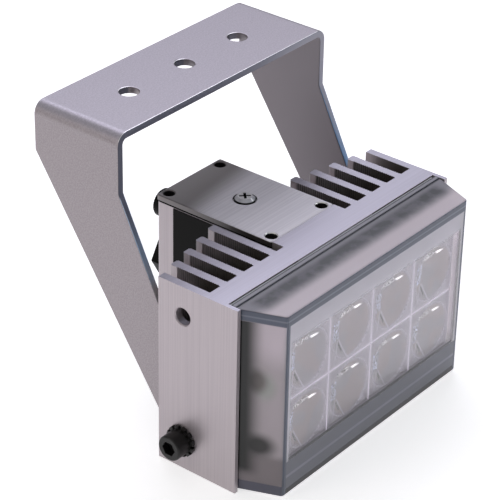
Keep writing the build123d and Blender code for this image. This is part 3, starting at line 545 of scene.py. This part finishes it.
def mouldedCover(name, look):
    material, tree, shader = newMaterial(name, {
        "IOR": look["ior"], "Emission Color": hexColour(look["frame"])})
    place, normal, across, sideways, lengthways, upright = surface(
        tree, "across", "sideways", "lengthways", "upright")
    y, z = place["Y"], place["Z"]
    outward = outwardFacing(tree, place, normal)
    half, bottom, top = frontOutline(look)
    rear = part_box("front_cover")[1].y
    arrayLow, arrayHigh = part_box("optic_5")[0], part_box("optic_4")[1]
    soft, margin, band, foot, line = (
        look[key] * mm for key in ("softMm", "arrayMarginMm", "bandMm", "footMm", "flangeLineMm"))
    colour, clearness = look["clear"], look["clearPass"]

    def above(value, limit, spread=soft):
        return value, limit - spread, limit + spread

    def below(value, limit, spread=soft):
        return value, limit + spread, limit - spread

    def fromRear(key):
        return (y, *(rear - far * mm for far in look[key]))

    def upFrom(start, key):
        return (z, *(start + rise * mm for rise in look[key]))

    def lay(tone, passed, *steps):  # paints one zone over the ones before it, with how much light it lets through
        nonlocal colour, clearness
        zone = softMask(tree, *steps)
        colour = paint(tree, colour, (zone, tone))
        mix = addNode(tree, "Mix", {"data_type": "FLOAT", 3: passed}, {0: zone})
        if isinstance(clearness, float):
            mix.inputs[2].default_value = clearness
        else:
            tree.links.new(clearness, mix.inputs[2])
        clearness = mix.outputs[0]

    # front: painted light in the frame round the optics, painted shade in the foot below them, and the border bands
    lay(look["frame"], look["framePass"], above(z, arrayHigh.z + margin, margin))
    lay(look["frame"], look["framePass"], above(across, arrayHigh.x + margin / 2, margin / 2))
    # painted shade: the foot below the optics is grey, darkest along the bottom edge
    footTop = arrayLow.z + look["footRiseMm"] * mm
    footMiddle = (bottom + footTop) / 2
    lay(look["foot"], look["footPass"], below(z, footTop))
    lay(look["footLine"], look["footPass"], above(z, footMiddle), below(z, footMiddle + foot / 2))
    lay(look["footEdge"], 0.0, below(z, bottom + foot))
    lay(look["band"], look["bandPass"], above(across, half - look["sideBandMm"] * mm))
    lay(look["band"], look["bandPass"], above(z, top - band))
    lineLow, lineHigh = (top - band * share for share in look["bandLineAt"])
    lay(look["bandLine"], look["bandPass"], above(z, lineLow), below(z, lineHigh))
    # top and bottom walls: pale at the front and greyer towards the flange, with a painted dark reflection of the
    # heatsink's front as a soft strip near the flange on the outside, and painted groove shadow as dark lines at the
    # flange
    mottle = addNode(tree, "TexNoise", {"Scale": 1.0, "Detail": 3.0}, {
        "Vector": patternCoordinates(tree, (look["mottleMm"],) * 3)}).outputs["Fac"]
    rearReflectionStrip = softMask(tree, fromRear("stripRiseMm"), fromRear("stripFallMm"),
                     (across, *(half + far * mm for far in look["stripEndMm"])), (normal["Z"], *look["stripFacing"]),
                     (mottle, *look["mottleSpread"], *look["mottleDepth"]))
    flangeFront = rear - look["flangeMm"] * mm
    wall = paint(tree, look["wallLight"],
                 (softMask(tree, fromRear("rearToneMm")), look["wallRear"]),
                 (rearReflectionStrip, look["rearReflectionDark"]),
                 (softMask(tree, above(y, flangeFront - line)), look["grooveShadeLine"]),
                 (softMask(tree, above(y, flangeFront + line)), look["flange"]),
                 (softMask(tree, above(y, rear - line)), look["grooveShadeLine"]))
    lay(wall, look["wallPass"], (upright, *look["wallFacing"]))
    # side walls: the base plate and its shade behind the matt wall are painted on as blurred dark forms: painted shade,
    # darker towards the bottom, with painted dark and paler spots and black painted shade next to the lip
    isSide = softMask(tree, (sideways, *look["wallFacing"]), below(z, top - band))
    isOutside = softMask(tree, isSide, (outward, *look["outsideFacing"]))
    sideTone = paint(tree, look["wallLight"],
                     (softMask(tree, upFrom(top - band, "middleToneMm")), look["wallMiddle"]),
                     (softMask(tree, upFrom(bottom, "lowToneMm")), look["wallLow"]))
    lay(sideTone, look["wallPass"], isSide)
    onWall = addNode(tree, "CombineXYZ", {}, {1: y, 2: z}).outputs[0]
    for tone, centre, reach in look["spotsMm"]:
        middle = Vector((0, rear - centre[0] * mm, bottom + centre[1] * mm))
        offset = addNode(tree, "VectorMath", {"operation": "SUBTRACT", 1: middle}, {0: onWall}).outputs["Vector"]
        scaled = addNode(tree, "VectorMath", {"operation": "DIVIDE", 1: (1.0, reach[0] * mm, reach[1] * mm)},
                         {0: offset}).outputs["Vector"]
        far = addNode(tree, "VectorMath", {"operation": "LENGTH"}, {0: scaled}).outputs["Value"]
        lay(look[tone], 0.0, isOutside, (far, *look["spotFade"]))
    lay(look["lipShade"], 0.0, isOutside, fromRear("lipShadeMm"), upFrom(bottom, "lipShadeRiseMm"))
    lay(look["wallFoot"], 0.0, isOutside, below(z, bottom + look["wallFootMm"] * mm))
    tree.links.new(colour, shader.inputs["Base Color"])
    tree.links.new(clearness, shader.inputs["Transmission Weight"])
    # the side walls' inward faces glow faintly in the frame's colour: painted light inside the cover
    glow = softMask(tree, (outward, *look["insideFacing"], 0.0, look["paintedInnerGlow"]))
    tree.links.new(glow, shader.inputs["Emission Strength"])
    rough = softMask(tree, (lengthways, *look["frontFacing"], look["wallRoughness"], look["clearRoughness"]))
    tree.links.new(rough, shader.inputs["Roughness"])
    return material


softenedCopy("front_cover", "clear_cover", mouldedCover("clearPolycarbonate", coverLook), coverLook["edgeMm"])

# Optics: moulded acrylic collimators, one modelled and copied. The square front has a shallow dish with a ring of
# small facets, and the gate's rib above right of the middle. Painted highlights that glow mark the rib's streak and
# the glints, and the side faces glow faintly as painted light
opticLook = {
    "dish": "#c8bab9", "dishCool": "#bdb9be", "corner": "#d3ccd6", "rim": "#ebe6f0", "glint": "#ffffff",
    "glintCool": "#dfe6ff", "slit": "#3f3a38", "glintGlow": 0.8, "speckGlow": 0.35, "sideGlow": 0.30,
    "transmission": 0.22, "ior": 1.49, "roughness": (0.096, 0.144), "roughMm": 6.0, "toneMm": 9.0, "glintMm": 0.45,
    "rimMm": 0.5, "borderMm": 0.7, "pitchMm": 25.4, "edgeMm": 0.2, "lineSoftMm": 0.10, "cornerFrom": 0.85,
    "toneSpread": (0.4, 0.6), "brightSpecks": (0.53, 0.58), "dullSpecks": (0.42, 0.38), "sideFacing": (0.5, 0.3),
    "dishRadiusMm": 11.4, "dishDepthMm": 0.9, "ballSegments": 96, "ballRings": 192, "facetCount": 40, "facetMm": 0.5,
    "facetRiseMm": 0.3, "ribSides": 24,
    # marks from the middle of each optic: start, end, and half the width
    "streak": ((1.2, 7.9), (5.4, 7.6)), "streakMm": 0.4,
    "glintLines": (((-7.6, 8.3), (0.8, 8.1), 1.1), ((-9.0, 6.5), (-8.6, -1.5), 1.9)),
    "slitLine": ((-7.1, -3.2), (-5.2, -7.4), 0.42),
    "veeLines": (((-7.4, -2.0), (-9.4, -9.4), 0.30), ((-6.7, -2.0), (-2.0, -11.2), 0.30)),
}


def mouldedAcrylic(name, look):
    material, tree, shader = newMaterial(name, {
        "Transmission Weight": look["transmission"], "IOR": look["ior"], "Emission Strength": look["glintGlow"]})
    place, normal, lengthways = surface(tree, "lengthways")
    pitch, soft, radius, rim, border = (
        look[key] * mm for key in ("pitchMm", "lineSoftMm", "dishRadiusMm", "rimMm", "borderMm"))
    opticLow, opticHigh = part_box("optic_5")
    arrayLow = opticLow.z - (pitch - (opticHigh.z - opticLow.z)) / 2

    def fromMiddle(value, start):  # place within an optic, from its middle, along one axis
        steps = addNode(tree, "Math", {"operation": "SUBTRACT", 1: start + pitch / 2}, {0: value})
        return addNode(tree, "Math", {"operation": "WRAP", 1: pitch / 2, 2: -pitch / 2},
                       {0: steps.outputs[0]}).outputs[0]

    across, up = fromMiddle(place["X"], 0.0), fromMiddle(place["Z"], arrayLow)
    cell = addNode(tree, "CombineXYZ", {}, {0: across, 1: up}).outputs[0]
    far = addNode(tree, "VectorMath", {"operation": "LENGTH"}, {0: cell}).outputs["Value"]

    def nearLine(start, end, halfWidth):  # mask of a short straight mark on each optic
        start, end = Vector(start + (0.0,)) * mm, Vector(end + (0.0,)) * mm
        way = (end - start).normalized()
        offset = addNode(tree, "VectorMath", {"operation": "SUBTRACT", 1: start}, {0: cell}).outputs["Vector"]
        along, beside = (
            addNode(tree, "VectorMath", {"operation": "DOT_PRODUCT", 1: axis}, {0: offset}).outputs["Value"]
            for axis in (way, (-way.y, way.x, 0.0)))
        beside = addNode(tree, "Math", {"operation": "ABSOLUTE"}, {0: beside}).outputs[0]
        length, width = (end - start).length, halfWidth * mm
        return softMask(tree, (along, -soft, soft), (along, length + soft, length - soft),
                        (beside, width + soft, width - soft))

    tones, specks, uneven = (
        addNode(tree, "TexNoise", {"Scale": 1.0, "Detail": detail}, {
            "Vector": patternCoordinates(tree, (look[key],) * 3)}).outputs["Fac"]
        for key, detail in (("toneMm", 1.0), ("glintMm", 0.0), ("roughMm", 2.0)))
    # dish, its ring, and the marks on it
    colour = paint(tree, look["dish"],
                   (softMask(tree, (tones, *look["toneSpread"])), look["dishCool"]),
                   (softMask(tree, (far, radius * look["cornerFrom"], radius)), look["corner"]),
                   (softMask(tree, (far, radius - rim, radius), (far, radius + rim, radius)), look["rim"]),
                   *((nearLine(*mark), look["rim"]) for mark in look["veeLines"]),
                   (nearLine(*look["slitLine"]), look["slit"]))
    glow = "#000000"
    # painted highlights: glints of bright specks that glow, among dark specks
    for mark, tone in zip(look["glintLines"], (look["glint"], look["glintCool"])):
        zone = nearLine(*mark)
        bright, dull = (softMask(tree, zone, (specks, *look[key])) for key in ("brightSpecks", "dullSpecks"))
        colour = paint(tree, colour, (dull, look["slit"]), (bright, tone))
        glow = paint(tree, glow, (bright, tuple(v * look["speckGlow"] for v in hexColour(tone))))
    # painted highlight: a white streak that glows, on the gate's rib
    streak = nearLine(*look["streak"], look["streakMm"] / 2)
    # painted light: the side faces glow faintly in the rim's colour
    isSide = softMask(tree, (lengthways, *look["sideFacing"]))
    glow = paint(tree, glow, (streak, look["glint"]),
                 (isSide, tuple(v * look["sideGlow"] for v in hexColour(look["rim"]))))
    tree.links.new(glow, shader.inputs["Emission Color"])
    # bright border of the square
    sizes = [addNode(tree, "Math", {"operation": "ABSOLUTE"}, {0: value}).outputs[0] for value in (across, up)]
    outer = addNode(tree, "Math", {"operation": "MAXIMUM"}, {0: sizes[0], 1: sizes[1]}).outputs[0]
    isBorder = softMask(tree, (outer, pitch / 2 - border * 2, pitch / 2 - border))
    tree.links.new(paint(tree, colour, (streak, look["glint"]), (isBorder, look["rim"])), shader.inputs["Base Color"])
    low, high = look["roughness"]
    rough = addNode(tree, "MapRange", {"To Min": low, "To Max": high}, {"Value": uneven})
    tree.links.new(rough.outputs[0], shader.inputs["Roughness"])
    return material


def boolean(piece, cutter, operation):
    applyModifier(piece, "BOOLEAN", {"object": cutter, "operation": operation, "solver": "EXACT"})
    bpy.data.objects.remove(cutter)


def addOptic(node, look):  # on the place of the first node
    piece = mergedCopy(node, "collimator_1")
    low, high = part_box(node)
    middle = (low + high) / 2
    front = low.y
    radius, depth = look["dishRadiusMm"] * mm, look["dishDepthMm"] * mm
    ballRadius = (radius ** 2 + depth ** 2) / (2 * depth)
    bpy.ops.object.select_all(action="DESELECT")
    bpy.ops.mesh.primitive_uv_sphere_add(segments=look["ballSegments"], ring_count=look["ballRings"],
                                         radius=ballRadius, rotation=(math.pi / 2, 0, 0),
                                         location=(middle.x, front + depth - ballRadius, middle.z))
    boolean(piece, bpy.context.object, "DIFFERENCE")
    breakEdges(piece, look["edgeMm"])
    # ring of facets and the gate's rib, joined and welded on
    bpy.ops.object.select_all(action="DESELECT")
    trims = []
    for i in range(look["facetCount"]):
        angle = math.tau * i / look["facetCount"]
        place = (middle.x + radius * math.cos(angle), front, middle.z + radius * math.sin(angle))
        bpy.ops.mesh.primitive_ico_sphere_add(subdivisions=1, radius=look["facetMm"] * mm, location=place)
        bpy.context.object.scale = (1.0, look["facetRiseMm"] / look["facetMm"], 1.0)
        trims.append(bpy.context.object)
    start, end = (Vector(point) * mm for point in look["streak"])
    across, up = (start + end) / 2
    bpy.ops.mesh.primitive_cylinder_add(vertices=look["ribSides"], radius=look["streakMm"] / 2 * mm,
                                        depth=(end - start).length, rotation=(0, math.pi / 2, 0),
                                        location=(middle.x + across, front, middle.z + up))
    rib = bpy.context.object
    bpy.ops.object.select_all(action="DESELECT")
    for obj in trims + [rib]:
        obj.select_set(True)
    bpy.context.view_layer.objects.active = rib
    bpy.ops.object.join()
    bpy.ops.object.transform_apply(location=True, rotation=True, scale=True)
    boolean(piece, rib, "UNION")
    return piece


def addOptics(look):
    material = mouldedAcrylic("clearAcrylic", look)
    first = addOptic("optic_1", look)
    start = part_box("optic_1")[0]
    pieces = [first]
    for number in range(2, 9):
        piece = bpy.data.objects.new(f"collimator_{number}", first.data.copy())
        bpy.context.scene.collection.objects.link(piece)
        piece.data.transform(Matrix.Translation(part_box(f"optic_{number}")[0] - start))
        pieces.append(piece)
    for number, piece in enumerate(pieces, 1):
        finishPiece(piece, f"optic_{number}", material, meshing["opticSmoothDegrees"])


addOptics(opticLook)
print("clear parts finished")
